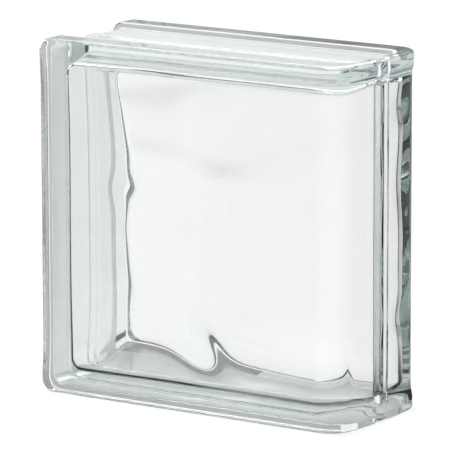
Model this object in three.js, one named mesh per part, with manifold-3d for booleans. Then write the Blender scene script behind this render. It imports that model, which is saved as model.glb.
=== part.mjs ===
// A hollow glass block with one closed, finished end, in millimetres.
// X runs along the faces, Y through the block from the front face to the back face, and Z is up.
// The origin is at the middle of the underside.
// The block is two pressed glass shells, each a thick face plate with side walls, fused rim to rim at
// Y = 0. Flanges round the faces leave a mortar channel along the top, the underside and the -X side.
// The +X side is a clear, rounded end that is meant to be seen at the open end of a wall.
import * as THREE from "three";
import { mergeVertices } from "three/addons/utils/BufferGeometryUtils.js";
import Module from "manifold-3d";

// Overall size.
const BLOCK_WIDTH = 190;
const BLOCK_HEIGHT = 190;
const BLOCK_DEPTH = 80;

// Outline of the faces and of the flanges round them.
const FACE_CORNER_RADIUS = 7; // at the two corners on the mortar side
const EDGE_ROUND = 2; // rounding between a face and the flange edges
const SIDE_WAIST = 0.8; // how far the -X edge draws in between its corners
const WAIST_RAMP = 20; // height over which it draws in
const FLANGE_THICKNESS = 13.2;

// Mortar channels.
const CHANNEL_DEPTH = 3.4;
const CHANNEL_CORNER_RADIUS = 5; // where the channel turns from the top down the -X side
const CHANNEL_END_RADIUS = 10; // in plan, where a channel stops at the closed end

// Closed end.
const END_RIM = 5; // width of the rim that closes the channels
const END_CORNER_RADIUS = 12; // in plan, between a face and the end
const END_CROWN_RADIUS = 260; // in plan, the slight bulge of the end
const END_LIP_HEIGHT = 7; // full-size band at the top and the foot of the end
const END_LIP_RAMP = 5; // height over which the end draws in behind a lip
const END_SETBACK = 1.1; // how far the end draws in between its lips

// Fused seam. Its bead keeps the closed end's outermost line, also where the end is drawn in.
const BEAD_WIDTH = 9;
const BEAD_RISE = 0.9;
const BEAD_RISE_AT_EDGE = 0.45; // at the very top and foot of the closed end
const BEAD_NOSE = 6; // height over which the bead rounds off towards the top and the foot
const INNER_BEAD_WIDTH = 7; // the same glass squeezed into the hollow
const INNER_BEAD_RISE = 0.8;

// Hollow inside. Walls in the mortar sides are measured from the channel floor.
const FACE_PLATE = 9; // mean thickness of a face plate
const SIDE_WALL_AT_SEAM = 8.6;
const SIDE_WALL_AT_FACE = 11.4;
const LEVEL_WALL_AT_SEAM = 5; // top and bottom walls
const LEVEL_WALL_AT_FACE = 9;
const END_WALL = 7; // in the closed end, where it is drawn in
const CAVITY_CORNER_RADIUS = 7; // seen from the front, on the mortar side
const CAVITY_FILLET = 4; // between the mortar sides and a face plate
const END_CAVITY_CORNER_RADIUS = 13; // the same two at the closed end
const END_CAVITY_FILLET = 10;
const WAVE_LIMIT = 4; // greatest depth of the relief either way

// The pressed relief on the inside of each face plate: long soft swells, each with its middle, its
// direction in degrees from +X, how far it reaches along and across, and how far it stands into the hollow.
const FRONT_SWELLS = [
  { x: -66, z: 84, turn: 90, along: 76, across: 28, rise: -2.5 },
  { x: -78, z: 182, turn: 100, along: 34, across: 30, rise: -3.2 },
  { x: -26, z: 180, turn: 90, along: 32, across: 19, rise: 2.6 },
  { x: -43, z: 114, turn: 0, along: 10, across: 8, rise: 0.7 },
  { x: -42, z: 22, turn: 0, along: 36, across: 18, rise: 2 },
  { x: 5, z: 35, turn: -58, along: 20, across: 11, rise: 2 },
  { x: 12, z: 24, turn: 0, along: 60, across: 30, rise: 1.7 },
  { x: 14, z: 66, turn: 0, along: 36, across: 15, rise: -1.4 },
  { x: 48, z: 27, turn: 0, along: 16, across: 12, rise: 0.5 },
  { x: 16, z: 140, turn: 51, along: 42, across: 9, rise: 0.9 },
  { x: 92, z: 38, turn: 0, along: 30, across: 14, rise: 1.4 },
];
const BACK_SWELLS = [
  { x: -70, z: 160, turn: 12, along: 50, across: 8, rise: 1.7 },
  { x: -66, z: 118, turn: -8, along: 60, across: 9, rise: -1.6 },
  { x: -60, z: 84, turn: 14, along: 55, across: 8, rise: 1.6 },
  { x: -58, z: 46, turn: -6, along: 60, across: 9, rise: -1.4 },
  { x: 10, z: 136, turn: 20, along: 60, across: 12, rise: 1.5 },
  { x: 18, z: 92, turn: -14, along: 60, across: 12, rise: -1.5 },
  { x: 30, z: 44, turn: 10, along: 60, across: 11, rise: 1.6 },
  { x: 66, z: 70, turn: 24, along: 40, across: 10, rise: 1.4 },
];

// Smoothness of the facets.
const ARC_STEPS = 5;
const SMALL_ARC_STEPS = 3;
const CROWN_STEPS = 6;
const RAMP_STEPS = 4;
const BEAD_STEPS = 4; // over half of the bead's section
const WALL_STEPS = 2;
const CORNER_STEPS = 3; // over half of a corner of the hollow
const WAVE_STEPS = 30; // between the corners of the hollow

const HALF_WIDTH = BLOCK_WIDTH / 2;
const HALF_DEPTH = BLOCK_DEPTH / 2;
const END_X = HALF_WIDTH - BEAD_RISE; // the end's outer surface at the seam, under the bead
const CHANNEL_HALF_WIDTH = HALF_DEPTH - FLANGE_THICKNESS;
const PLATE_DEPTH = HALF_DEPTH - FACE_PLATE; // from the seam to a face plate's mean inner surface
const GRID_STEPS = WAVE_STEPS + 2 * CORNER_STEPS;
const PAST = 1; // how far a cut runs on past the surface that it opens
const CREST = 0.02; // width of the flat that an extruded bead keeps on its crest
const LEAST_STEP = 0.05; // heights closer than this are drawn as one
const QUARTER = Math.PI / 2;

const { clamp, degToRad, lerp } = THREE.MathUtils;
const smoothstep = (t) => THREE.MathUtils.smoothstep(t, 0, 1);

const wasm = await Module();
wasm.setup();

// A closed geometry as a manifold-3d solid.
function toSolid(geometry) {
  const bare = geometry.clone();
  bare.deleteAttribute("normal");
  bare.deleteAttribute("uv");
  const merged = mergeVertices(bare, 1e-4);
  return new wasm.Manifold(
    new wasm.Mesh({
      numProp: 3,
      vertProperties: new Float32Array(merged.attributes.position.array),
      triVerts: new Uint32Array(merged.index.array),
    }),
  );
}

// A manifold-3d solid as a geometry that three.js can draw.
function toGeometry(solid) {
  const mesh = solid.getMesh();
  const geometry = new THREE.BufferGeometry();
  geometry.setAttribute("position", new THREE.BufferAttribute(mesh.vertProperties, 3));
  geometry.setIndex(new THREE.BufferAttribute(mesh.triVerts, 1));
  geometry.computeVertexNormals();
  return geometry;
}

// A skin over rings of equally many points, closed with a fan at each end. The rings turn
// anticlockwise as seen from the last one.
function loft(rings) {
  const count = rings[0].length;
  const index = [];
  for (let r = 0; r + 1 < rings.length; r++) {
    for (let i = 0; i < count; i++) {
      const a = r * count + i;
      const b = r * count + ((i + 1) % count);
      index.push(a, b, b + count, a, b + count, a + count);
    }
  }
  const last = (rings.length - 1) * count;
  for (let i = 1; i + 1 < count; i++) {
    index.push(0, i + 1, i);
    index.push(last, last + i, last + i + 1);
  }
  const geometry = new THREE.BufferGeometry().setFromPoints(rings.flat());
  geometry.setIndex(index);
  return geometry;
}

// A shape drawn in X and Z, extruded along Y and centred on Y = 0. A bevel adds bevelThickness at
// each end and grows the outline by bevelSize.
function extrudeAlongY(shape, depth, bevel = {}) {
  const geometry = new THREE.ExtrudeGeometry(shape, { depth, bevelEnabled: false, ...bevel });
  geometry.translate(0, 0, -depth / 2);
  geometry.rotateX(QUARTER);
  return geometry;
}

// A shape drawn in X and Y, extruded upwards from Z = bottom.
function extrudeUp(shape, bottom, height) {
  const geometry = new THREE.ExtrudeGeometry(shape, { depth: height, bevelEnabled: false });
  geometry.translate(0, 0, bottom);
  return geometry;
}

// Points along an arc, both ends included.
function arcPoints(x, y, radius, from, to, steps) {
  return Array.from({ length: steps + 1 }, (_, i) => {
    const angle = lerp(from, to, i / steps);
    return [x + radius * Math.cos(angle), y + radius * Math.sin(angle)];
  });
}

// A rectangle in a plane, with its own radius at the two left and the two right corners.
function roundedRectangle(left, right, low, high, leftRadius, rightRadius) {
  const corner = (x, y, radius, start) =>
    radius > 0 ? arcPoints(x, y, radius, start, start + QUARTER, ARC_STEPS) : [[x, y]];
  const outline = [
    ...corner(right - rightRadius, low + rightRadius, rightRadius, -QUARTER),
    ...corner(right - rightRadius, high - rightRadius, rightRadius, 0),
    ...corner(left + leftRadius, high - leftRadius, leftRadius, QUARTER),
    ...corner(left + leftRadius, low + leftRadius, leftRadius, 2 * QUARTER),
  ];
  return new THREE.Shape(outline.map(([x, y]) => new THREE.Vector2(x, y)));
}

// How far a rounding of a given radius has drawn the surface in, at a distance from the edge.
function roundingInset(distance, radius) {
  const short = Math.max(0, radius - distance);
  return radius - Math.sqrt(radius * radius - short * short);
}

// Height above the underside or below the top, whichever is nearer.
function fromEdge(z) {
  return Math.min(z, BLOCK_HEIGHT - z);
}

// How far the closed end is drawn in at height z, between its lips.
function endSetback(z) {
  return END_SETBACK * smoothstep((fromEdge(z) - END_LIP_HEIGHT) / END_LIP_RAMP);
}

// How far the -X edge is drawn in at height z.
function sideWaist(z) {
  return SIDE_WAIST * smoothstep((fromEdge(z) - FACE_CORNER_RADIUS) / WAIST_RAMP);
}

// How far the closed end's crown has fallen back at distance y from the seam.
function crownFall(y) {
  return END_CROWN_RADIUS - Math.sqrt(END_CROWN_RADIUS ** 2 - y * y);
}

// The block's plan at height z: square-cut with rounded edges at -X, and at +X two corner arcs that
// run into the crown of the closed end.
function planRing(z) {
  const rim = roundingInset(fromEdge(z), EDGE_ROUND);
  const halfDepth = HALF_DEPTH - rim;
  const left = -HALF_WIDTH + roundingInset(fromEdge(z), FACE_CORNER_RADIUS) + sideWaist(z);
  const crownX = END_X - rim - endSetback(z) - END_CROWN_RADIUS;
  const cornerY = halfDepth - END_CORNER_RADIUS;
  const cornerX = crownX + Math.sqrt((END_CROWN_RADIUS - END_CORNER_RADIUS) ** 2 - cornerY ** 2);
  const turn = Math.atan2(cornerY, cornerX - crownX);
  const leftX = left + EDGE_ROUND;
  const leftY = halfDepth - EDGE_ROUND;
  const outline = [
    ...arcPoints(leftX, -leftY, EDGE_ROUND, -2 * QUARTER, -QUARTER, SMALL_ARC_STEPS),
    ...arcPoints(cornerX, -cornerY, END_CORNER_RADIUS, -QUARTER, -turn, ARC_STEPS),
    ...arcPoints(crownX, 0, END_CROWN_RADIUS, -turn, turn, CROWN_STEPS).slice(1, -1),
    ...arcPoints(cornerX, cornerY, END_CORNER_RADIUS, turn, QUARTER, ARC_STEPS),
    ...arcPoints(leftX, leftY, EDGE_ROUND, QUARTER, 2 * QUARTER, SMALL_ARC_STEPS),
  ];
  return outline.map(([x, y]) => new THREE.Vector3(x, y, z));
}

// Heights at which the outer form changes, from the underside up.
function outerLevels() {
  const low = [];
  for (let i = 0; i <= ARC_STEPS; i++) {
    const short = 1 - Math.cos((QUARTER * i) / ARC_STEPS);
    low.push(FACE_CORNER_RADIUS * short, EDGE_ROUND * short);
  }
  for (let i = 1; i <= RAMP_STEPS; i++) {
    low.push(END_LIP_HEIGHT + (END_LIP_RAMP * i) / RAMP_STEPS);
    low.push(FACE_CORNER_RADIUS + (WAIST_RAMP * i) / RAMP_STEPS);
  }
  const sorted = [...low, ...low.map((z) => BLOCK_HEIGHT - z)].sort((a, b) => a - b);
  return sorted.filter((z, i) => i === 0 || z - sorted[i - 1] > LEAST_STEP);
}

// The solid block before anything is cut from it.
function outerForm() {
  return toSolid(loft(outerLevels().map(planRing)));
}

// Outline of the body behind the flanges, seen from the front: the floors of the channels.
function bodyOutline(right) {
  const left = -HALF_WIDTH + CHANNEL_DEPTH;
  const high = BLOCK_HEIGHT - CHANNEL_DEPTH;
  return roundedRectangle(left, right, CHANNEL_DEPTH, high, CHANNEL_CORNER_RADIUS, 0);
}

// What the mortar channels take away: a slot between the flanges that stops at the rim of the
// closed end, less the body that stays standing in it.
function channelCut() {
  const left = -HALF_WIDTH - PAST;
  const half = CHANNEL_HALF_WIDTH;
  const slot = roundedRectangle(left, END_X - END_RIM, -half, half, 0, CHANNEL_END_RADIUS);
  const slotSolid = toSolid(extrudeUp(slot, -PAST, BLOCK_HEIGHT + 2 * PAST));
  return slotSolid.subtract(toSolid(extrudeAlongY(bodyOutline(HALF_WIDTH), BLOCK_DEPTH)));
}

// The bead that the two softened rims push up where they meet, on the channel floors. Its bevel gives
// it a rounded section, and it runs out inside the rim of the closed end.
function channelBead() {
  const bevel = {
    bevelEnabled: true,
    bevelThickness: (BEAD_WIDTH - CREST) / 2,
    bevelSize: BEAD_RISE,
    bevelSegments: BEAD_STEPS,
  };
  return toSolid(extrudeAlongY(bodyOutline(END_X - END_RIM / 2), CREST, bevel));
}

// The same bead on the closed end, as half-sunk ellipses one above another.
function endBead() {
  const rings = outerLevels().map((z) => {
    const nose = smoothstep(fromEdge(z) / BEAD_NOSE);
    const rise = lerp(BEAD_RISE_AT_EDGE, BEAD_RISE, nose) + endSetback(z);
    const foot = END_X - roundingInset(fromEdge(z), EDGE_ROUND) - endSetback(z);
    const section = arcPoints(0, 0, 1, 0, 4 * QUARTER, 4 * BEAD_STEPS).slice(0, -1);
    return section.map(([x, y]) => new THREE.Vector3(foot + rise * x, (y * BEAD_WIDTH) / 2, z));
  });
  return toSolid(loft(rings));
}

// The hollow's outline at a depth from the seam: the lines that its four sides lie on, and how far its
// corners reach along X and Z, first on the mortar side and then at the closed end.
function cavityOutline(depth) {
  const share = depth / PLATE_DEPTH;
  const squeezed = INNER_BEAD_RISE * smoothstep(1 - depth / (INNER_BEAD_WIDTH / 2));
  const inset = roundingInset(PLATE_DEPTH - depth, CAVITY_FILLET);
  const endInset = roundingInset(PLATE_DEPTH - depth, END_CAVITY_FILLET);
  const sideWall = lerp(SIDE_WALL_AT_SEAM, SIDE_WALL_AT_FACE, share) + squeezed;
  const levelWall = lerp(LEVEL_WALL_AT_SEAM, LEVEL_WALL_AT_FACE, share) + squeezed;
  const endWall = END_WALL + crownFall(depth) + squeezed;
  return {
    left: -HALF_WIDTH + CHANNEL_DEPTH + sideWall + inset,
    right: END_X - END_SETBACK - endWall - endInset,
    low: CHANNEL_DEPTH + levelWall + inset,
    high: BLOCK_HEIGHT - CHANNEL_DEPTH - levelWall - inset,
    cornersX: [CAVITY_CORNER_RADIUS - inset, END_CAVITY_CORNER_RADIUS - endInset],
    cornersZ: [CAVITY_CORNER_RADIUS - inset, END_CAVITY_CORNER_RADIUS - inset],
  };
}

// Where a line of the hollow's grid crosses from one side to the other: at equal angles in the corner at
// either end, and evenly spaced between the corners.
function gridLine(line, from, to, fromCorner, toCorner) {
  const bunched = (steps) => 1 - Math.tan(((1 - steps / CORNER_STEPS) * QUARTER) / 2);
  if (line < CORNER_STEPS) return from + fromCorner * bunched(line);
  const left = GRID_STEPS - line;
  if (left < CORNER_STEPS) return to - toCorner * bunched(left);
  return lerp(from + fromCorner, to - toCorner, (line - CORNER_STEPS) / WAVE_STEPS);
}

// X and Z of a place in the hollow's grid. In each corner the square grid is drawn in to an ellipse.
function gridPlace(outline, column, row) {
  const { left, right, low, high, cornersX, cornersZ } = outline;
  const reachZ = lerp(...cornersZ, column / GRID_STEPS);
  const x = gridLine(column, left, right, ...cornersX);
  const z = gridLine(row, low, high, reachZ, reachZ);
  const end = 2 * column < GRID_STEPS ? 0 : 1;
  const innerX = clamp(x, left + cornersX[0], right - cornersX[1]);
  const innerZ = clamp(z, low + cornersZ[end], high - cornersZ[end]);
  const across = Math.abs(x - innerX) / cornersX[end];
  const up = Math.abs(z - innerZ) / cornersZ[end];
  const drawnIn = Math.max(across, up) / (Math.hypot(across, up) || 1);
  return [innerX + (x - innerX) * drawnIn, innerZ + (z - innerZ) * drawnIn];
}

// Depths from the seam at which the hollow's walls change, the first just past the seam.
function cavityDepths() {
  const endFoot = PLATE_DEPTH - END_CAVITY_FILLET;
  const foot = PLATE_DEPTH - CAVITY_FILLET;
  const depths = [-PAST];
  for (let i = 0; i < WALL_STEPS; i++) {
    depths.push((INNER_BEAD_WIDTH / 2) * (i / WALL_STEPS));
    depths.push(lerp(endFoot, foot, i / WALL_STEPS));
  }
  depths.push(INNER_BEAD_WIDTH / 2);
  for (let i = 0; i <= ARC_STEPS; i++) {
    depths.push(foot + CAVITY_FILLET * Math.sin((QUARTER * i) / ARC_STEPS));
  }
  return depths.sort((a, b) => a - b);
}

// Height of the relief at a place on a face plate.
function relief(swells, x, z) {
  let rise = 0;
  for (const swell of swells) {
    const turn = degToRad(swell.turn);
    const along = (x - swell.x) * Math.cos(turn) + (z - swell.z) * Math.sin(turn);
    const across = (z - swell.z) * Math.cos(turn) - (x - swell.x) * Math.sin(turn);
    rise += swell.rise * Math.exp(-((along / swell.along) ** 2) - (across / swell.across) ** 2);
  }
  return clamp(rise, -WAVE_LIMIT, WAVE_LIMIT);
}

// The front shell's half of the hollow: a box whose grid is laid over the walls, the fillets and the
// face plate. The relief moves the plate with its fillets, and the walls stretch to meet them.
function frontCavity(swells) {
  const depths = cavityDepths();
  const depthSteps = depths.length - 1;
  const cavity = new THREE.BoxGeometry(1, 1, 1, GRID_STEPS, depthSteps, GRID_STEPS);
  const place = cavity.attributes.position;
  for (let i = 0; i < place.count; i++) {
    const column = Math.round((place.getX(i) + 0.5) * GRID_STEPS);
    const row = Math.round((place.getZ(i) + 0.5) * GRID_STEPS);
    const depth = depths[Math.round((0.5 - place.getY(i)) * depthSteps)];
    const inside = Math.max(depth, 0);
    const [x, z] = gridPlace(cavityOutline(inside), column, row);
    const stretch = Math.min(inside / (PLATE_DEPTH - CAVITY_FILLET), 1);
    place.setXYZ(i, x, stretch * relief(swells, x, z) - depth, z);
  }
  return toSolid(cavity);
}

// Keeps one side of the seam plane.
function keepSide(solid, side) {
  const box = new THREE.BoxGeometry(2 * BLOCK_WIDTH, BLOCK_DEPTH, 2 * BLOCK_HEIGHT);
  box.translate(0, (side * BLOCK_DEPTH) / 2, BLOCK_HEIGHT / 2);
  return solid.intersect(toSolid(box));
}

const glass = {
  color: 0xdfe7e6,
  roughness: 0.03,
  metalness: 0,
  transparent: true,
  opacity: 0.35,
};

// One shell: its side of the whole block, less its half of the hollow.
function makeShell(name, side, swells) {
  const front = frontCavity(swells);
  const cavity = side < 0 ? front : front.mirror([0, 1, 0]);
  const solid = keepSide(wholeBlock, side).subtract(cavity);
  const mesh = new THREE.Mesh(toGeometry(solid), new THREE.MeshStandardMaterial(glass));
  mesh.name = name;
  return mesh;
}

const wholeBlock = outerForm().subtract(channelCut()).add(channelBead()).add(endBead());

const block = new THREE.Group();
block.add(makeShell("front_shell", -1, FRONT_SWELLS));
block.add(makeShell("back_shell", 1, BACK_SWELLS));

export default block;
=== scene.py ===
import math

import bmesh
import bpy
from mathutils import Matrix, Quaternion, Vector


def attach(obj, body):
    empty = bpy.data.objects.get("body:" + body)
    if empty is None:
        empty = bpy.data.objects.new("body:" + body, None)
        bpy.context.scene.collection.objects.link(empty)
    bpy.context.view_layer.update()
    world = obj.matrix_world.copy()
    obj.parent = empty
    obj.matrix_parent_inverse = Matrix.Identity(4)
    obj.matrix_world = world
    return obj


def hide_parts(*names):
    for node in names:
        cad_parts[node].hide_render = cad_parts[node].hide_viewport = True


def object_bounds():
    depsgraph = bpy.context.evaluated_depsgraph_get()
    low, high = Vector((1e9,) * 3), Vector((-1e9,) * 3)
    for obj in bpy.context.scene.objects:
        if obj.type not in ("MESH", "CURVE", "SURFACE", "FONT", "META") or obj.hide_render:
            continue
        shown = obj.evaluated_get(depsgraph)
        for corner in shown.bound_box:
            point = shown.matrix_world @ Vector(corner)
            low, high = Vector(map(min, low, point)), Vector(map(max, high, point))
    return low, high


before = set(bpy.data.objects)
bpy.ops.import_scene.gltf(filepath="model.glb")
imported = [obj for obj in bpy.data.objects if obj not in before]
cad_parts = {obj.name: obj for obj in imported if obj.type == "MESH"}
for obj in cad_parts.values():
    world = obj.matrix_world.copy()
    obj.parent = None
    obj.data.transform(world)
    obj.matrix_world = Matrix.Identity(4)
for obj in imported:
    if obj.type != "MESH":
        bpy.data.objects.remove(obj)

cad_low, cad_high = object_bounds()


# ---------------------------------------------------------------------------
# Camera. A long lens well back, a little above the block and round towards its closed end, so that the
# front face, that end and the channel along the top all show with hardly any convergence.
# ---------------------------------------------------------------------------
scene = bpy.context.scene
MM = 0.001
CAMERA_AZIMUTH = math.radians(33.94)
CAMERA_ELEVATION = math.radians(11.22)
CAMERA_ROLL = math.radians(0.14)
CAMERA_DISTANCE = 2.48
CAMERA_LENS = 375.8  # both in millimetres, as Blender wants them
CAMERA_SENSOR = 36
CAMERA_AIM_RIGHT = -2.18 * MM  # how far the line of sight passes from the block's middle
CAMERA_AIM_UP = -2.58 * MM


def add_camera():
    """A camera on the line of sight, which passes the block's middle by the two aims."""
    flat = math.cos(CAMERA_ELEVATION)
    forward = Vector((
        -math.sin(CAMERA_AZIMUTH) * flat,
        math.cos(CAMERA_AZIMUTH) * flat,
        -math.sin(CAMERA_ELEVATION),
    ))
    right = Vector((math.cos(CAMERA_AZIMUTH), math.sin(CAMERA_AZIMUTH), 0))
    up = right.cross(forward)
    middle = (cad_low + cad_high) / 2
    camera = bpy.data.objects.new("camera", bpy.data.cameras.new("camera"))
    scene.collection.objects.link(camera)
    camera.data.lens = CAMERA_LENS
    camera.data.sensor_width = CAMERA_SENSOR
    camera.data.clip_start = 0.1
    camera.data.clip_end = 100
    camera.location = middle - forward * CAMERA_DISTANCE + right * CAMERA_AIM_RIGHT + up * CAMERA_AIM_UP
    camera.rotation_mode = "QUATERNION"
    camera.rotation_quaternion = Quaternion(forward, CAMERA_ROLL) @ forward.to_track_quat("-Z", "Y")
    scene.camera = camera


add_camera()
scene.view_settings.view_transform = "Standard"
# Light crosses up to eight glass surfaces and is mirrored inside the flanges many times on its way.
scene.cycles.max_bounces = 32
scene.cycles.transmission_bounces = 32
scene.cycles.glossy_bounces = 16
scene.cycles.use_denoising = True


# ---------------------------------------------------------------------------
# Glass. One fused body of clear soda-lime glass: two pressed shells whose rims were melted together.
# Its outside is drawn as three kinds of skin that share their edges: the floor of the mortar channel,
# rings that climb from the floor over the flanges, and one broad sheet over the faces and the closed end.
# ---------------------------------------------------------------------------
BLOCK_WIDTH, BLOCK_DEPTH, BLOCK_HEIGHT = cad_high - cad_low
HALF_WIDTH = BLOCK_WIDTH / 2
HALF_DEPTH = BLOCK_DEPTH / 2
HALF_HEIGHT = BLOCK_HEIGHT / 2

FACE_CORNER_RADIUS = 7 * MM
EDGE_ROUND = 2 * MM
SIDE_WAIST = 0.8 * MM  # how far the -X edge draws in between its corners
WAIST_RAMP = 20 * MM
FLANGE_THICKNESS = 13.2 * MM
CHANNEL_HALF_WIDTH = HALF_DEPTH - FLANGE_THICKNESS
CHANNEL_DEPTH = 3.4 * MM
CHANNEL_CORNER_RADIUS = 5 * MM
CHANNEL_END_RADIUS = 10 * MM  # in plan, where a channel stops at the closed end
CHANNEL_FOOT_RADIUS = 0.9 * MM
CHANNEL_LIP_RADIUS = 0.7 * MM
CHANNEL_DRAFT = 0.3 * MM  # lean of the channel's sides, so that the mould lets go

BEAD_HALF_WIDTH = 4.5 * MM
BEAD_RISE = 0.9 * MM
BEAD_FULLNESS = 2.4  # 2 would be an ellipse
BEAD_SHOULDER = 6.5 * MM  # where the grooves beside the bead run out
GROOVE_DEPTH = 1.4 * MM
BEAD_NOSE = 6 * MM  # over this height the bead's ends round off
BEAD_NOSE_RISE = 0.5  # the share of its rise that is left at the very edge

END_BEAD_RISE = 0.9 * MM  # over the lips, and between them the bead bridges the setback too
END_X = HALF_WIDTH - END_BEAD_RISE
END_RIM = 5 * MM
END_CORNER_RADIUS = 12 * MM
END_CROWN_RADIUS = 260 * MM
END_LIP_HEIGHT = 7 * MM
END_LIP_RAMP = 5 * MM
END_SETBACK = 1.1 * MM
END_WALL = 7 * MM
STRAIGHT = 1000.0  # a crown radius in metres that is as good as flat
FLOOR_START = END_X - END_RIM - CHANNEL_END_RADIUS  # where the straight part of a channel's floor ends

TOP_STEPS = 44
SIDE_STEPS = 48
HALF_ARC_STEPS = 6  # half of any rounded corner of a sheet
ROUND_STEPS = 8
END_SIDE_STEPS = 8
BEAD_STEPS = 20
ROW_BUNCHING = 0.7  # how much closer the rows of the closed end lie at the lips than halfway up
WELD_DISTANCE = 1e-6


def lerp(a, b, t):
    return a + (b - a) * t


def smooth(t):
    t = min(max(t, 0), 1)
    return t * t * (3 - 2 * t)


def side_waist(z):
    """How far the -X edge is drawn in at height z."""
    distance = min(z, BLOCK_HEIGHT - z) - FACE_CORNER_RADIUS
    return SIDE_WAIST * smooth(distance / WAIST_RAMP)


def end_setback(z):
    """How far the closed end is drawn in at height z, between its lips."""
    distance = min(z, BLOCK_HEIGHT - z) - END_LIP_HEIGHT
    return END_SETBACK * smooth(distance / END_LIP_RAMP)


def bead(y):
    """How far the fused bead stands proud at distance y from the seam."""
    reach = min(abs(y) / BEAD_HALF_WIDTH, 1)
    return BEAD_RISE * math.sqrt(1 - reach ** BEAD_FULLNESS)


def groove(y):
    """How far the rounded rims of the two shells fall away beside the bead."""
    reach = (BEAD_SHOULDER - abs(y)) / (BEAD_SHOULDER - BEAD_HALF_WIDTH)
    return GROOVE_DEPTH * smooth(reach)


def end_proud(y, off_edge, setback):
    """How far the closed end stands out at y from the seam and at off_edge from the nearer level edge."""
    nose = lerp(BEAD_NOSE_RISE, 1, smooth(off_edge / BEAD_NOSE))
    return lerp(-groove(y), END_BEAD_RISE * nose + setback, bead(y) / BEAD_RISE)


# Stations along the three mortar sides: over the top, round a corner, down the -X side, round a corner
# and back along the underside.
PATH_LEGS = [TOP_STEPS, 2 * HALF_ARC_STEPS, SIDE_STEPS, 2 * HALF_ARC_STEPS, TOP_STEPS]
PATH = [(leg, i / steps) for leg, steps in enumerate(PATH_LEGS) for i in range(steps)] + [(4, 1.0)]


def path_point(leg, t, depth, x_start):
    """X and Z of a station on the outline that lies depth below the flanges' edges."""
    if leg > 2:
        x, z = path_point(4 - leg, 1 - t, depth, x_start)
        return x, BLOCK_HEIGHT - z
    share = depth / CHANNEL_DEPTH
    radius = lerp(FACE_CORNER_RADIUS, CHANNEL_CORNER_RADIUS, share)
    centre_x = -HALF_WIDTH + depth + radius
    centre_z = BLOCK_HEIGHT - depth - radius
    if leg == 0:
        return lerp(x_start, centre_x, t), BLOCK_HEIGHT - depth
    if leg == 1:
        angle = math.pi / 2 * (1 + t)
        return centre_x + radius * math.cos(angle), centre_z + radius * math.sin(angle)
    z = lerp(centre_z, BLOCK_HEIGHT - centre_z, t)
    return -HALF_WIDTH + depth + side_waist(z) * (1 - share), z


def end_curve(x_end, half_width, corner, crown):
    """X and Y of the stations in plan round a closed end, from front to back."""
    crown_x = x_end - crown
    corner_y = half_width - corner
    corner_x = crown_x + math.sqrt((crown - corner) ** 2 - corner_y ** 2)
    turn = math.atan2(corner_y, corner_x - crown_x)
    arc = []
    for i in range(2 * HALF_ARC_STEPS + 1):
        angle = lerp(-math.pi / 2, -turn, i / (2 * HALF_ARC_STEPS))
        arc.append((corner_x + corner * math.cos(angle), -corner_y + corner * math.sin(angle)))
    side = [lerp(arc[-1][1], -BEAD_SHOULDER, i / END_SIDE_STEPS) for i in range(1, END_SIDE_STEPS)]
    middle = [-BEAD_SHOULDER * math.cos(math.pi * i / BEAD_STEPS) for i in range(BEAD_STEPS + 1)]
    ys = side + middle + [-y for y in reversed(side)]
    crowned = [(crown_x + math.sqrt(crown * crown - y * y), y) for y in ys]
    return arc + crowned + [(x, -y) for x, y in reversed(arc)]


def channel_ring(depth, half_width, x_end, corner):
    """A closed ring round the channel at one depth, from the top front over both ends."""
    x_start = x_end - corner
    side = [path_point(leg, t, depth, x_start) for leg, t in PATH]
    front = [Vector((x, -half_width, z)) for x, z in side]
    end = []
    for x, y in end_curve(x_end, half_width, corner, STRAIGHT)[1:-1]:
        level = depth * (1 - bead(y) / CHANNEL_DEPTH) + groove(y) * (1 - depth / CHANNEL_DEPTH)
        end.append((x, y, min(level, CHANNEL_DEPTH)))
    under = [Vector((x, y, level)) for x, y, level in end]
    over = [Vector((x, y, BLOCK_HEIGHT - level)) for x, y, level in reversed(end)]
    back = [Vector((p.x, half_width, p.z)) for p in reversed(front)]
    return front + under + back + over


def rim_ring(turn):
    """A closed ring on the rounding between the flanges' edges and the faces, turned from 0 to a quarter."""
    inset = EDGE_ROUND * (1 - math.sin(turn))
    drop = EDGE_ROUND * (1 - math.cos(turn))
    half_width = HALF_DEPTH - inset
    curve = end_curve(END_X - inset, half_width, END_CORNER_RADIUS, END_CROWN_RADIUS)
    side = [path_point(leg, t, drop, curve[0][0]) for leg, t in PATH]
    front = [Vector((x, -half_width, z)) for x, z in side]
    end = []
    for x, y in curve[1:-1]:
        out = end_proud(y, 0, 0) * math.sin(turn)
        end.append((x + out, y, drop + (groove(y) - bead(y)) * math.cos(turn)))
    under = [Vector((x, y, level)) for x, y, level in end]
    over = [Vector((x, y, BLOCK_HEIGHT - level)) for x, y, level in reversed(end)]
    back = [Vector((p.x, half_width, p.z)) for p in reversed(front)]
    return front + under + back + over


def sheet_between(first, last, left, right):
    """A sheet between four edges: rows run from first to last, and left and right join their ends."""
    rows, columns = len(left) - 1, len(first) - 1
    sheet = []
    for r in range(rows + 1):
        v = r / rows
        line = []
        for c in range(columns + 1):
            u = c / columns
            across = first[c].lerp(last[c], v) + left[r].lerp(right[r], u)
            corners = first[0].lerp(first[-1], u).lerp(last[0].lerp(last[-1], u), v)
            line.append(across - corners)
        sheet.append(line)
    return sheet


def add_sheet(mesh, sheet, closed=False):
    """Adds the quads of a grid of points to a bmesh. A closed sheet joins each row's end to its start."""
    added = []
    rows = [[mesh.verts.new(p) for p in line] for line in sheet]
    columns = len(sheet[0])
    for near, far in zip(rows, rows[1:]):
        for c in range(columns if closed else columns - 1):
            after = (c + 1) % columns
            added.append(mesh.faces.new((near[c], near[after], far[after], far[c])))
    return added


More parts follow.
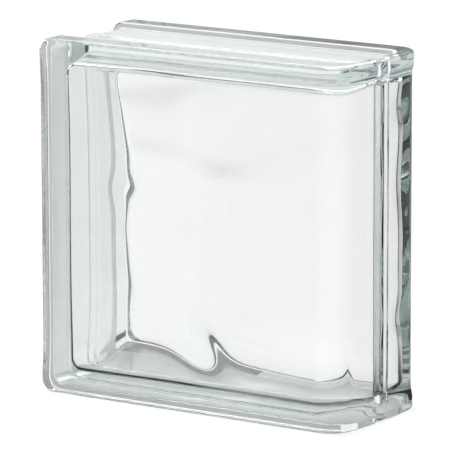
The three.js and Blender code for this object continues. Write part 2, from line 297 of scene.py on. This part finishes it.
QUARTER_TURN = [math.pi / 2 * i / ROUND_STEPS for i in range(ROUND_STEPS + 1)]
FOOT_RINGS = [
    channel_ring(
        CHANNEL_DEPTH - CHANNEL_FOOT_RADIUS * (1 - math.cos(a)),
        CHANNEL_HALF_WIDTH - CHANNEL_FOOT_RADIUS * (1 - math.sin(a)),
        END_X - END_RIM - CHANNEL_FOOT_RADIUS * (1 - math.sin(a)),
        CHANNEL_END_RADIUS - CHANNEL_FOOT_RADIUS * (1 - math.sin(a)),
    )
    for a in QUARTER_TURN
]
LIP_RINGS = [
    channel_ring(
        CHANNEL_LIP_RADIUS * (1 - math.sin(a)),
        CHANNEL_HALF_WIDTH + CHANNEL_DRAFT + CHANNEL_LIP_RADIUS * (1 - math.cos(a)),
        END_X - END_RIM + CHANNEL_DRAFT + CHANNEL_LIP_RADIUS * (1 - math.cos(a)),
        CHANNEL_END_RADIUS + CHANNEL_DRAFT + CHANNEL_LIP_RADIUS * (1 - math.cos(a)),
    )
    for a in QUARTER_TURN
]
RIM_RINGS = [rim_ring(a) for a in QUARTER_TURN]

# How much of the glass the sprayed film hides: all of it on the flanges' sides and underneath, less along
# the top, half down the -X side, and next to nothing in the sharp feet of the flanges and of the bead,
# where it doesn't reach.
FLANGE_COVER = 1.0
TOP_COVER = 0.8
UNDER_COVER = 1.0
UNDER_REACH = 47 * MM  # how far up the film is as thick as underneath
SIDE_COVER = 0.5
FOOT_COVER = 0.1
COVER_RAMP = 15 * MM
BEAD_FOOT = (4.6 * MM, 6.4 * MM)
FLANGE_SLOPE = 0.9  # a face whose normal has more Y than this is a flange's side
FOOT_SLOPE = 0.2  # and with more than this it is in a foot
PATH_COUNT = len(PATH)
END_COUNT = len(end_curve(END_X, HALF_DEPTH, END_CORNER_RADIUS, END_CROWN_RADIUS)) - 2


def ring_parts(ring):
    """A ring cut at the middles of its four end arcs: front side, underside end, back side, top end."""
    half = HALF_ARC_STEPS
    cuts = [
        -half,
        PATH_COUNT - 1 + half,
        PATH_COUNT + END_COUNT - half,
        2 * PATH_COUNT + END_COUNT - 1 + half,
        2 * PATH_COUNT + 2 * END_COUNT - half,
    ]
    return [[ring[i % len(ring)] for i in range(a, b + 1)] for a, b in zip(cuts, cuts[1:])]


def film_cover(face):
    """How much of the glass the film hides on a face of the channel."""
    place = face.calc_center_median()
    slope = abs(face.normal.y)
    if slope > FLANGE_SLOPE:
        return FLANGE_COVER
    if slope > FOOT_SLOPE or BEAD_FOOT[0] < abs(place.y) < BEAD_FOOT[1]:
        cover = FOOT_COVER
    else:
        cover = UNDER_COVER if place.z < UNDER_REACH else TOP_COVER
    return lerp(SIDE_COVER, cover, smooth((place.x + HALF_WIDTH) / COVER_RAMP))


def add_channel_floor(mesh):
    """The floor of the channel, with the bead down its middle, inside the innermost ring."""
    front, under, back, over = ring_parts(FOOT_RINGS[0])
    back = back[::-1]
    over = over[::-1]
    half = HALF_ARC_STEPS
    rows = len(over)

    def across(c):
        """The line over the floor between two opposite stations of its long sides."""
        leg, t = PATH[c - half]
        y_end = front[c].y
        line = []
        for r in range(rows):
            if r <= half:
                y = lerp(y_end, under[half].y, r / half)
            elif r >= rows - 1 - half:
                y = -lerp(y_end, under[half].y, (rows - 1 - r) / half)
            else:
                y = under[r].y
            x, z = path_point(leg, t, CHANNEL_DEPTH - bead(y), FLOOR_START)
            line.append(Vector((x, y, z)))
        return line

    long_part = [across(c) for c in range(half, len(front) - half)]
    added = add_sheet(mesh, long_part)
    for line, edge, near, far in (
        (long_part[0], over, front[:half + 1][::-1], back[:half + 1][::-1]),
        (long_part[-1], under, front[-half - 1:], back[-half - 1:]),
    ):
        sheet = sheet_between(line, edge, near, far)
        level = line[rows // 2 + rows // 4].z
        up = 1 if level > HALF_HEIGHT else -1
        for row in sheet[1:-1]:
            for p in row[1:-1]:
                p.z = level + up * bead(p.y)
        added += add_sheet(mesh, sheet)
    return added


def add_faces_and_end(mesh):
    """One sheet over the front face, the closed end and the back face."""
    ring = RIM_RINGS[-1]
    half = HALF_ARC_STEPS
    corner = TOP_STEPS + half
    rows = SIDE_STEPS + 2 * half + 1
    face_edge = [ring[i] for i in range(corner, corner + rows)]
    levels = []
    for r in range(rows):
        share = r / (rows - 1)
        bunched = lerp(share, 0.5 - 0.5 * math.cos(math.pi * share), ROW_BUNCHING)
        levels.append(lerp(ring[0].z, BLOCK_HEIGHT - ring[0].z, bunched))
    end_sheet = []
    for z in levels:
        line = []
        setback = end_setback(z)
        off_edge = min(z, BLOCK_HEIGHT - z) - EDGE_ROUND
        for x, y in end_curve(END_X - setback, HALF_DEPTH, END_CORNER_RADIUS, END_CROWN_RADIUS):
            line.append(Vector((x + end_proud(y, off_edge, setback), y, z)))
        end_sheet.append(line)
    add_sheet(mesh, end_sheet)
    top = [ring[i] for i in range(corner + 1)][::-1]
    foot = [ring[i] for i in range(PATH_COUNT - 1 - corner, PATH_COUNT)]
    seam_line = [line[0] for line in end_sheet]
    front_face = sheet_between(top, foot, face_edge, seam_line)
    add_sheet(mesh, front_face)
    add_sheet(mesh, [[Vector((p.x, -p.y, p.z)) for p in line] for line in front_face])


def outer_skin():
    """The outside as a closed bmesh, with the film's cover stored on each face."""
    mesh = bmesh.new()
    coating = mesh.faces.layers.float.new("coating")
    channel = add_channel_floor(mesh) + add_sheet(mesh, FOOT_RINGS + LIP_RINGS[:1], closed=True)
    add_sheet(mesh, LIP_RINGS + RIM_RINGS, closed=True)
    add_faces_and_end(mesh)
    bmesh.ops.remove_doubles(mesh, verts=mesh.verts, dist=WELD_DISTANCE)
    bmesh.ops.recalc_face_normals(mesh, faces=mesh.faces)
    for face in channel:
        face[coating] = film_cover(face)
    return mesh


# The hollow is closed in the same way: two face plates with walls and fillets between them. It starts
# with flat plates, and the relief is pressed into them afterwards.
FACE_PLATE = 9 * MM
PLATE_DEPTH = HALF_DEPTH - FACE_PLATE  # from the seam to a plate's mean inner surface
SIDE_WALL_AT_SEAM = 8.6 * MM
SIDE_WALL_AT_FACE = 11.4 * MM
LEVEL_WALL_AT_SEAM = 5 * MM
LEVEL_WALL_AT_FACE = 9 * MM
CAVITY_CORNER_RADIUS = 7 * MM
CAVITY_FILLET = 4 * MM
END_CAVITY_CORNER_RADIUS = 13 * MM  # along the block
END_CAVITY_CORNER_HEIGHT = 5 * MM
END_CAVITY_FILLET = 10 * MM
INNER_BEAD_RISE = 0.8 * MM
INNER_BEAD_HALF_WIDTH = 3.5 * MM
PLATE_COLUMNS = 112
PLATE_ROWS = 116
WALL_STEPS = 4
INNER_BEAD_STEPS = 5


def fillet_inset(depth, radius):
    """How far a wall has curved in at a depth from the seam, on its way into the face plate."""
    turn = max(depth - PLATE_DEPTH + radius, 0) / radius
    return radius * (1 - math.sqrt(max(1 - turn * turn, 0)))


def cavity_ring(depth):
    """The hollow's outline at a depth from the seam."""
    share = depth / PLATE_DEPTH
    squeezed = INNER_BEAD_RISE * smooth(1 - depth / INNER_BEAD_HALF_WIDTH)
    inset = fillet_inset(depth, CAVITY_FILLET)
    end_inset = fillet_inset(depth, END_CAVITY_FILLET)
    left = -HALF_WIDTH + CHANNEL_DEPTH + lerp(SIDE_WALL_AT_SEAM, SIDE_WALL_AT_FACE, share) + squeezed
    crown_fall = END_CROWN_RADIUS - math.sqrt(END_CROWN_RADIUS ** 2 - depth ** 2)
    right = END_X - END_SETBACK - END_WALL - crown_fall - squeezed
    low = CHANNEL_DEPTH + lerp(LEVEL_WALL_AT_SEAM, LEVEL_WALL_AT_FACE, share) + squeezed
    high = BLOCK_HEIGHT - low
    steps = 2 * HALF_ARC_STEPS
    corners = []
    for x, z, start in (
        (left, low, math.pi),
        (right, low, 1.5 * math.pi),
        (right, high, 0),
        (left, high, 0.5 * math.pi),
    ):
        width, height, narrow = CAVITY_CORNER_RADIUS, CAVITY_CORNER_RADIUS, inset
        if x > 0:
            width, height, narrow = END_CAVITY_CORNER_RADIUS, END_CAVITY_CORNER_HEIGHT, end_inset
        centre_x = x + width if x < 0 else x - width
        centre_z = z + height if z < HALF_HEIGHT else z - height
        angles = [start + math.pi / 2 * i / steps for i in range(steps + 1)]
        corners.append([
            (centre_x + (width - narrow) * math.cos(a), centre_z + (height - inset) * math.sin(a))
            for a in angles
        ])
    ring = []
    for arc, ahead, count in zip(corners, corners[1:] + corners[:1], (PLATE_COLUMNS, PLATE_ROWS) * 2):
        ring += arc[:-1]
        (x, z), (x_ahead, z_ahead) = arc[-1], ahead[0]
        ring += [(lerp(x, x_ahead, i / count), lerp(z, z_ahead, i / count)) for i in range(count)]
    return [Vector((x, -depth, z)) for x, z in ring]


def hollow_skin():
    """The hollow as a closed bmesh with flat plates, its normals pointing out of the glass."""
    mesh = bmesh.new()
    wall_foot = PLATE_DEPTH - END_CAVITY_FILLET
    fillet_foot = PLATE_DEPTH - CAVITY_FILLET
    depths = [INNER_BEAD_HALF_WIDTH * i / INNER_BEAD_STEPS for i in range(INNER_BEAD_STEPS)]
    depths += [lerp(INNER_BEAD_HALF_WIDTH, wall_foot, i / WALL_STEPS) for i in range(WALL_STEPS)]
    depths += [lerp(wall_foot, fillet_foot, i / WALL_STEPS) for i in range(WALL_STEPS)]
    depths += [PLATE_DEPTH - CAVITY_FILLET * (1 - math.sin(a)) for a in QUARTER_TURN]
    rings = [cavity_ring(depth) for depth in depths]
    half = HALF_ARC_STEPS
    edge = rings[-1]
    columns = PLATE_COLUMNS + 2 * half
    rows = PLATE_ROWS + 2 * half
    count = len(edge)
    foot = [edge[(half + i) % count] for i in range(columns + 1)]
    right = [edge[(half + columns + i) % count] for i in range(rows + 1)]
    top = [edge[(half + columns + rows + i) % count] for i in range(columns + 1)][::-1]
    left = [edge[(half + 2 * columns + rows + i) % count] for i in range(rows + 1)][::-1]
    plate = sheet_between(foot, top, left, right)
    for side in (1, -1):
        turned = [[Vector((p.x, side * p.y, p.z)) for p in ring] for ring in rings]
        add_sheet(mesh, turned, closed=True)
        add_sheet(mesh, [[Vector((p.x, side * p.y, p.z)) for p in line] for line in plate])
    bmesh.ops.remove_doubles(mesh, verts=mesh.verts, dist=WELD_DISTANCE)
    bmesh.ops.recalc_face_normals(mesh, faces=mesh.faces)
    bmesh.ops.reverse_faces(mesh, faces=mesh.faces)
    return mesh


# The pressed relief on the inside of each face plate: long soft swells, each with its middle, its
# direction in degrees from +X, how far it reaches along and across, and how far it stands into the hollow,
# all in millimetres.
FRONT_SWELLS = [
    {"x": -66, "z": 84, "turn": 90, "along": 76, "across": 28, "rise": -2.5},
    {"x": -78, "z": 182, "turn": 100, "along": 34, "across": 30, "rise": -3.2},
    {"x": -26, "z": 180, "turn": 90, "along": 32, "across": 19, "rise": 2.6},
    {"x": -43, "z": 114, "turn": 0, "along": 10, "across": 8, "rise": 0.7},
    {"x": -42, "z": 22, "turn": 0, "along": 36, "across": 18, "rise": 2},
    {"x": 5, "z": 35, "turn": -58, "along": 20, "across": 11, "rise": 2},
    {"x": 12, "z": 24, "turn": 0, "along": 60, "across": 30, "rise": 1.7},
    {"x": 14, "z": 66, "turn": 0, "along": 36, "across": 15, "rise": -1.4},
    {"x": 16, "z": 140, "turn": 51, "along": 42, "across": 9, "rise": 0.9},
    {"x": 86, "z": 34, "turn": 0, "along": 46, "across": 16, "rise": 1.3},
]
BACK_SWELLS = [
    {"x": -70, "z": 160, "turn": 12, "along": 50, "across": 8, "rise": 1.7},
    {"x": -66, "z": 118, "turn": -8, "along": 60, "across": 9, "rise": -1.6},
    {"x": -60, "z": 84, "turn": 14, "along": 55, "across": 8, "rise": 1.6},
    {"x": -58, "z": 46, "turn": -6, "along": 60, "across": 9, "rise": -1.4},
    {"x": 10, "z": 136, "turn": 20, "along": 60, "across": 12, "rise": 1.5},
    {"x": 18, "z": 92, "turn": -14, "along": 60, "across": 12, "rise": -1.5},
    {"x": 30, "z": 44, "turn": 10, "along": 60, "across": 11, "rise": 1.6},
    {"x": 66, "z": 70, "turn": 24, "along": 40, "across": 10, "rise": 1.4},
    {"x": 83, "z": 122, "turn": 84, "along": 19, "across": 8, "rise": 3.2},
    {"x": 83, "z": 163, "turn": 96, "along": 9, "across": 8, "rise": 3.2},
    {"x": 83, "z": 50, "turn": 84, "along": 9, "across": 8, "rise": 3.2},
]
RELIEF_LIMIT = 4 * MM


def add_node(tree, kind, settings=None, inputs=None):
    """Adds a node, sets its properties, and sets or links its inputs by name or number. A node among the
    inputs is linked by its first output."""
    node = tree.nodes.new(kind)
    for name, value in (settings or {}).items():
        setattr(node, name, value)
    for name, value in (inputs or {}).items():
        if isinstance(value, bpy.types.Node):
            value = value.outputs[0]
        if isinstance(value, bpy.types.NodeSocket):
            tree.links.new(value, node.inputs[name])
        else:
            node.inputs[name].default_value = value
    return node


def swell_group():
    """Node group: adds one swell to the height of the swells before it, at a place on a plate."""
    tree = bpy.data.node_groups.new("soft_swell", "GeometryNodeTree")
    for name in ("Place", "Middle", "Reach"):
        tree.interface.new_socket(name, in_out="INPUT", socket_type="NodeSocketVector")
    for name in ("Turn", "Rise", "Height Before"):
        tree.interface.new_socket(name, in_out="INPUT", socket_type="NodeSocketFloat")
    tree.interface.new_socket("Height", in_out="OUTPUT", socket_type="NodeSocketFloat")
    given = add_node(tree, "NodeGroupInput").outputs
    off_middle = add_node(tree, "ShaderNodeVectorMath", {"operation": "SUBTRACT"}, {
        0: given["Place"],
        1: given["Middle"],
    })
    turned = add_node(tree, "ShaderNodeVectorRotate", {"rotation_type": "Y_AXIS"}, {
        "Vector": off_middle,
        "Angle": given["Turn"],
    })
    reaches = add_node(tree, "ShaderNodeVectorMath", {"operation": "DIVIDE"}, {0: turned, 1: given["Reach"]})
    squared = add_node(tree, "ShaderNodeVectorMath", {"operation": "DOT_PRODUCT"}, {0: reaches, 1: reaches})
    squared = squared.outputs["Value"]
    fall = add_node(tree, "ShaderNodeMath", {"operation": "MULTIPLY"}, {0: squared, 1: -1.0})
    fall = add_node(tree, "ShaderNodeMath", {"operation": "EXPONENT"}, {0: fall})
    height = add_node(tree, "ShaderNodeMath", {"operation": "MULTIPLY_ADD"}, {
        0: given["Rise"],
        1: fall,
        2: given["Height Before"],
    })
    add_node(tree, "NodeGroupOutput", inputs={"Height": height})
    return tree


def relief_tree():
    """Node tree: presses the swells into the plates of the flat hollow, and stretches its walls to suit."""
    one_swell = swell_group()
    tree = bpy.data.node_groups.new("pressed_relief", "GeometryNodeTree")
    tree.interface.new_socket("Geometry", in_out="INPUT", socket_type="NodeSocketGeometry")
    for name in ("Fillet Start", "Limit"):
        tree.interface.new_socket(name, in_out="INPUT", socket_type="NodeSocketFloat")
    tree.interface.new_socket("Glass", in_out="INPUT", socket_type="NodeSocketMaterial")
    tree.interface.new_socket("Geometry", in_out="OUTPUT", socket_type="NodeSocketGeometry")
    given = add_node(tree, "NodeGroupInput").outputs
    place = add_node(tree, "GeometryNodeInputPosition")
    on_plate = add_node(tree, "ShaderNodeVectorMath", {"operation": "MULTIPLY"}, {0: place, 1: (1, 0, 1)})
    off_seam = add_node(tree, "ShaderNodeSeparateXYZ", inputs={0: place}).outputs["Y"]
    heights = []
    for swells in (FRONT_SWELLS, BACK_SWELLS):
        height = 0.0
        for swell in swells:
            height = add_node(tree, "GeometryNodeGroup", {"node_tree": one_swell}, {
                "Place": on_plate,
                "Middle": (swell["x"] * MM, 0, swell["z"] * MM),
                "Turn": math.radians(swell["turn"]),
                "Reach": (swell["along"] * MM, 1, swell["across"] * MM),
                "Rise": swell["rise"] * MM,
                "Height Before": height,
            })
        heights.append(height)
    front, back = heights
    at_front = add_node(tree, "ShaderNodeMath", {"operation": "LESS_THAN"}, {0: off_seam, 1: 0.0})
    rise = add_node(tree, "ShaderNodeMix", inputs={"Factor": at_front, "A": back, "B": front})
    deepest = add_node(tree, "ShaderNodeMath", {"operation": "MULTIPLY"}, {0: given["Limit"], 1: -1.0})
    rise = add_node(tree, "ShaderNodeClamp", inputs={"Value": rise, "Min": deepest, "Max": given["Limit"]})
    # From all of the rise on one plate, through none at the seam, to all of it the other way on the other.
    share = add_node(tree, "ShaderNodeMath", {"operation": "DIVIDE"}, {0: off_seam, 1: given["Fillet Start"]})
    inwards = add_node(tree, "ShaderNodeMapRange", inputs={
        "Value": share,
        "From Min": -1.0,
        "From Max": 1.0,
        "To Min": 1.0,
        "To Max": -1.0,
    })
    shift = add_node(tree, "ShaderNodeMath", {"operation": "MULTIPLY"}, {0: rise, 1: inwards})
    offset = add_node(tree, "ShaderNodeCombineXYZ", inputs={"Y": shift})
    pressed = add_node(tree, "GeometryNodeSetPosition", inputs={
        "Geometry": given["Geometry"],
        "Offset": offset,
    })
    real = add_node(tree, "GeometryNodeRealizeInstances", inputs={0: pressed})
    glazed = add_node(tree, "GeometryNodeSetMaterial", inputs={"Geometry": real, "Material": given["Glass"]})
    add_node(tree, "NodeGroupOutput", inputs={"Geometry": glazed})
    return tree


def linear(hex_colour):
    """An sRGB hex colour as a linear RGBA value."""
    channels = []
    for i in (1, 3, 5):
        value = int(hex_colour[i:i + 2], 16) / 255
        channels.append(value / 12.92 if value <= 0.04045 else ((value + 0.055) / 1.055) ** 2.4)
    return (*channels, 1.0)


GLOW_SHARE = 0.4  # the part of the light that the film lets through rather than turns back


def coated_glass():
    """Fire-polished soda-lime glass: clear, with a faint green in its depth and a very smooth skin. Where
    the channel is coated, a thin milky film in full contact with the glass takes its shine away, and
    light glows through it from either side."""
    material = bpy.data.materials.new("soda_lime_glass")
    material.use_nodes = True
    tree = material.node_tree
    tree.nodes.clear()
    skin = add_node(tree, "ShaderNodeBsdfPrincipled", inputs={
        "Base Color": linear("#FFFFFF"),
        "Roughness": 0.0,
        "IOR": 1.52,
        "Transmission Weight": 1.0,
    })
    film = add_node(tree, "ShaderNodeBsdfPrincipled", inputs={
        "Base Color": linear("#EBEEEE"),
        "Roughness": 0.45,
        "IOR": 1.5,
    })
    glow = add_node(tree, "ShaderNodeBsdfTranslucent", inputs={"Color": linear("#EBEEEE")})
    satin = add_node(tree, "ShaderNodeMixShader", inputs={0: GLOW_SHARE, 1: film, 2: glow})
    coated = add_node(tree, "ShaderNodeAttribute", {"attribute_name": "coating"}).outputs["Fac"]
    surface = add_node(tree, "ShaderNodeMixShader", inputs={0: coated, 1: skin, 2: satin})
    depth = add_node(tree, "ShaderNodeVolumeAbsorption", inputs={
        "Color": linear("#C2D9D6"),
        "Density": 5.5,
    })
    add_node(tree, "ShaderNodeOutputMaterial", inputs={"Surface": surface, "Volume": depth})
    return material


def glass_block():
    """The block as one object: the outer skin and the pressed hollow in a single closed mesh."""
    glass = coated_glass()
    hollow = bpy.data.objects.new("hollow", bpy.data.meshes.new("hollow"))
    scene.collection.objects.link(hollow)
    hollow_mesh = hollow_skin()
    hollow_mesh.to_mesh(hollow.data)
    hollow_mesh.free()
    relief = hollow.modifiers.new("relief", "NODES")
    relief.node_group = relief_tree()
    sockets = {s.name: s.identifier for s in relief.node_group.interface.items_tree if s.in_out == "INPUT"}
    relief[sockets["Fillet Start"]] = PLATE_DEPTH - CAVITY_FILLET
    relief[sockets["Limit"]] = RELIEF_LIMIT
    relief[sockets["Glass"]] = glass
    pressed = bpy.data.meshes.new_from_object(hollow.evaluated_get(bpy.context.evaluated_depsgraph_get()))
    bpy.data.objects.remove(hollow)

    mesh = outer_skin()
    mesh.from_mesh(pressed)
    data = bpy.data.meshes.new("glass_block")
    mesh.to_mesh(data)
    mesh.free()
    bpy.data.meshes.remove(pressed)
    data.materials.append(glass)
    data.shade_smooth()
    block = bpy.data.objects.new("glass_block", data)
    scene.collection.objects.link(block)
    weighted = block.modifiers.new("even_normals", "WEIGHTED_NORMAL")
    weighted.mode = "FACE_AREA"
    weighted.weight = 50
    return block


block = glass_block()
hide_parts("front_shell", "back_shell")
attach(block, "root")


# ---------------------------------------------------------------------------
# Studio: a white table in a white room, with soft boxes overhead and to the left. Reflections inside the
# glass see a painted reflection: two white papers with black cloth between them, which the camera never sees
# directly, and the cloth draws the rounded edges as dark lines. No light is focused through the glass in a
# render, so painted light stands in for it: the floor glows under the bottom channel. Seen plainly, the
# floor under the block carries a painted shadow.
# ---------------------------------------------------------------------------
FLOOR_SIZE = 8.0
BACKGROUND = 1.0  # the room as the camera sees it, past the block or through it
FLOOR_GLOW = 0.92  # the floor in that view, beside the block
PAINTED_SHADOW_GLOW = 0.85  # and under it, lower: a painted shadow of the block
FLOOR_DIFFUSE = 0.12  # the part of the floor that keeps the block's shadow
# Paper and cloth are a painted reflection: only reflections see them, and the camera sees plain white there.
PAPER, PAPER_HIGH = 0.45, 2.2  # painted light: the paper in reflections is brighter higher up
PAPER_RISE = (0.34, 0.54)  # between these sines of the height
PAINTED_CLOTH_REFLECTION = 0.05
PAPER_EDGE = (0.35, 0.75)  # cosines of the angle from the middle of the paper behind the block
FRONT_PAPER_LOSS = 0.3  # by how much of a cosine the paper behind the camera is narrower
ROOM_LIGHT = 0.3  # what falls softly on the block from the room
FLOOR_LIGHT = 0.6  # and from the floor's own glow, painted light that only soft light sees
PAINTED_UNDER_GLOW = 4.5  # and from a painted glowing patch of floor under the bottom channel, in place of light focused through the glass
PAINTED_UNDER_GLOW_HALF = (0.085, 0.018)
LAMP_AIM = (0, 0, 0.1)


def paper_share(tree, place):
    """1 towards the paper behind the block and the narrower one behind the camera, 0 towards the sides."""
    back = Vector((-math.sin(CAMERA_AZIMUTH), math.cos(CAMERA_AZIMUTH), 0))
    level = add_node(tree, "ShaderNodeVectorMath", {"operation": "MULTIPLY"}, {0: place, 1: (1, 1, 0)})
    level = add_node(tree, "ShaderNodeVectorMath", {"operation": "NORMALIZE"}, {0: level})
    behind_block = add_node(tree, "ShaderNodeVectorMath", {"operation": "DOT_PRODUCT"}, {0: level, 1: back})
    behind_block = behind_block.outputs["Value"]
    behind_camera = add_node(tree, "ShaderNodeMath", {"operation": "SUBTRACT"}, {
        0: -FRONT_PAPER_LOSS,
        1: behind_block,
    })
    nearer = add_node(tree, "ShaderNodeMath", {"operation": "MAXIMUM"}, {0: behind_block, 1: behind_camera})
    return add_node(tree, "ShaderNodeMapRange", {"interpolation_type": "SMOOTHSTEP"}, {
        "Value": nearer,
        "From Min": PAPER_EDGE[0],
        "From Max": PAPER_EDGE[1],
    })


def by_ray(tree, soft, mirrored, plain):
    """One value for the soft light on the block, one for what a reflection shows, and one for the plain
    background that is seen directly or through the glass."""
    path = add_node(tree, "ShaderNodeLightPath").outputs
    sharp = add_node(tree, "ShaderNodeMath", {"operation": "LESS_THAN"}, {0: path["Diffuse Depth"], 1: 0.5})
    straight = add_node(tree, "ShaderNodeMath", {"operation": "LESS_THAN"}, {0: path["Glossy Depth"], 1: 0.5})
    ahead = add_node(tree, "ShaderNodeMath", {"operation": "MAXIMUM"}, {
        0: path["Is Camera Ray"],
        1: path["Is Transmission Ray"],
    })
    any_way = add_node(tree, "ShaderNodeMath", {"operation": "MAXIMUM"}, {0: ahead, 1: path["Is Glossy Ray"]})
    any_view = add_node(tree, "ShaderNodeMath", {"operation": "MULTIPLY"}, {0: any_way, 1: sharp})
    plain_view = add_node(tree, "ShaderNodeMath", {"operation": "MULTIPLY"}, {0: ahead, 1: sharp})
    plain_view = add_node(tree, "ShaderNodeMath", {"operation": "MULTIPLY"}, {0: plain_view, 1: straight})
    value = add_node(tree, "ShaderNodeMix", inputs={"Factor": any_view, "A": soft, "B": mirrored})
    return add_node(tree, "ShaderNodeMix", inputs={"Factor": plain_view, "A": value, "B": plain})


def outside(tree, place, half_x, half_y):
    """1 on the floor outside a rectangle round the origin, 0 inside it."""
    half = (half_x, half_y, 1)
    sides = add_node(tree, "ShaderNodeVectorMath", {"operation": "DIVIDE"}, {0: place, 1: half})
    sides = add_node(tree, "ShaderNodeVectorMath", {"operation": "ABSOLUTE"}, {0: sides})
    sides = add_node(tree, "ShaderNodeSeparateXYZ", inputs={0: sides}).outputs
    further = add_node(tree, "ShaderNodeMath", {"operation": "MAXIMUM"}, {0: sides["X"], 1: sides["Y"]})
    return add_node(tree, "ShaderNodeMath", {"operation": "GREATER_THAN"}, {0: further, 1: 1.0})


def add_floor():
    """The table's top. It keeps a little of the block's shadow from the lamps, carries a painted shadow under
    the block where it is seen plainly, shows painted paper and cloth in reflections, and glows with painted
    light under the bottom channel.
    """
    data = bpy.data.meshes.new("floor")
    half = FLOOR_SIZE / 2
    corners = [(-half, -half, 0), (half, -half, 0), (half, half, 0), (-half, half, 0)]
    data.from_pydata(corners, [], [(0, 1, 2, 3)])
    floor = bpy.data.objects.new("floor", data)
    scene.collection.objects.link(floor)
    material = bpy.data.materials.new("white_floor")
    material.use_nodes = True
    tree = material.node_tree
    tree.nodes.clear()
    place = add_node(tree, "ShaderNodeTexCoord").outputs["Object"]
    # Painted shadow: seen plainly, the floor under the block glows less than beside it.
    plain_glow = add_node(tree, "ShaderNodeMix", inputs={
        "Factor": outside(tree, place, HALF_WIDTH, HALF_DEPTH),
        "A": PAINTED_SHADOW_GLOW,
        "B": FLOOR_GLOW,
    })
    # Painted light: for soft light the floor glows, and much more under the bottom channel.
    soft_glow = add_node(tree, "ShaderNodeMix", inputs={
        "Factor": outside(tree, place, *PAINTED_UNDER_GLOW_HALF),
        "A": PAINTED_UNDER_GLOW,
        "B": FLOOR_LIGHT,
    })
    papers = paper_share(tree, place)
    # Painted reflection: reflections see the floor as paper towards the papers and as cloth to the sides.
    cover = add_node(tree, "ShaderNodeMix", inputs={"Factor": papers, "A": PAINTED_CLOTH_REFLECTION, "B": PAPER})
    shade = by_ray(tree, soft=FLOOR_DIFFUSE, mirrored=cover, plain=FLOOR_DIFFUSE)
    glow = by_ray(tree, soft=soft_glow, mirrored=0.0, plain=plain_glow)
    paint = add_node(tree, "ShaderNodeBsdfDiffuse", inputs={"Color": shade})
    light = add_node(tree, "ShaderNodeEmission", inputs={"Color": (1, 1, 1, 1), "Strength": glow})
    both = add_node(tree, "ShaderNodeAddShader", inputs={0: paint, 1: light})
    add_node(tree, "ShaderNodeOutputMaterial", inputs={"Surface": both})
    data.materials.append(material)


def add_room():
    """The room round the table: plain white where it is seen, and a painted reflection of papers and cloth
    where it is mirrored.
    """
    world = bpy.data.worlds.new("white_room")
    scene.world = world
    world.use_nodes = True
    tree = world.node_tree
    tree.nodes.clear()
    towards = add_node(tree, "ShaderNodeTexCoord").outputs["Generated"]
    height = add_node(tree, "ShaderNodeSeparateXYZ", inputs={0: towards}).outputs["Z"]
    paper = add_node(tree, "ShaderNodeMapRange", {"interpolation_type": "SMOOTHSTEP"}, {
        "Value": height,
        "From Min": PAPER_RISE[0],
        "From Max": PAPER_RISE[1],
        "To Min": PAPER,
        "To Max": PAPER_HIGH,
    })
    # Painted reflection: only reflected rays see the papers and the cloth.
    papers = paper_share(tree, towards)
    cover = add_node(tree, "ShaderNodeMix", inputs={"Factor": papers, "A": PAINTED_CLOTH_REFLECTION, "B": paper})
    strength = by_ray(tree, soft=ROOM_LIGHT, mirrored=cover, plain=BACKGROUND)
    light = add_node(tree, "ShaderNodeBackground", inputs={"Color": (1, 1, 1, 1), "Strength": strength})
    add_node(tree, "ShaderNodeOutputWorld", inputs={"Surface": light})


def add_softbox(name, place, size, power):
    """A square lamp aimed at the block, its size in metres and its power in watts. It lights the block and
    shines in its outer skin, but isn't seen directly or through the glass."""
    data = bpy.data.lights.new(name, "AREA")
    data.shape = "SQUARE"
    data.size = size
    data.energy = power
    lamp = bpy.data.objects.new(name, data)
    scene.collection.objects.link(lamp)
    lamp.location = place
    lamp.rotation_mode = "QUATERNION"
    lamp.rotation_quaternion = (Vector(LAMP_AIM) - Vector(place)).to_track_quat("-Z", "Y")
    lamp.visible_camera = False
    lamp.visible_transmission = False


add_floor()
add_room()
add_softbox("overhead_softbox", place=(-0.1, 0.1, 2.2), size=1.4, power=48)
add_softbox("left_softbox", place=(-1.4, 0, 0.5), size=0.8, power=19)
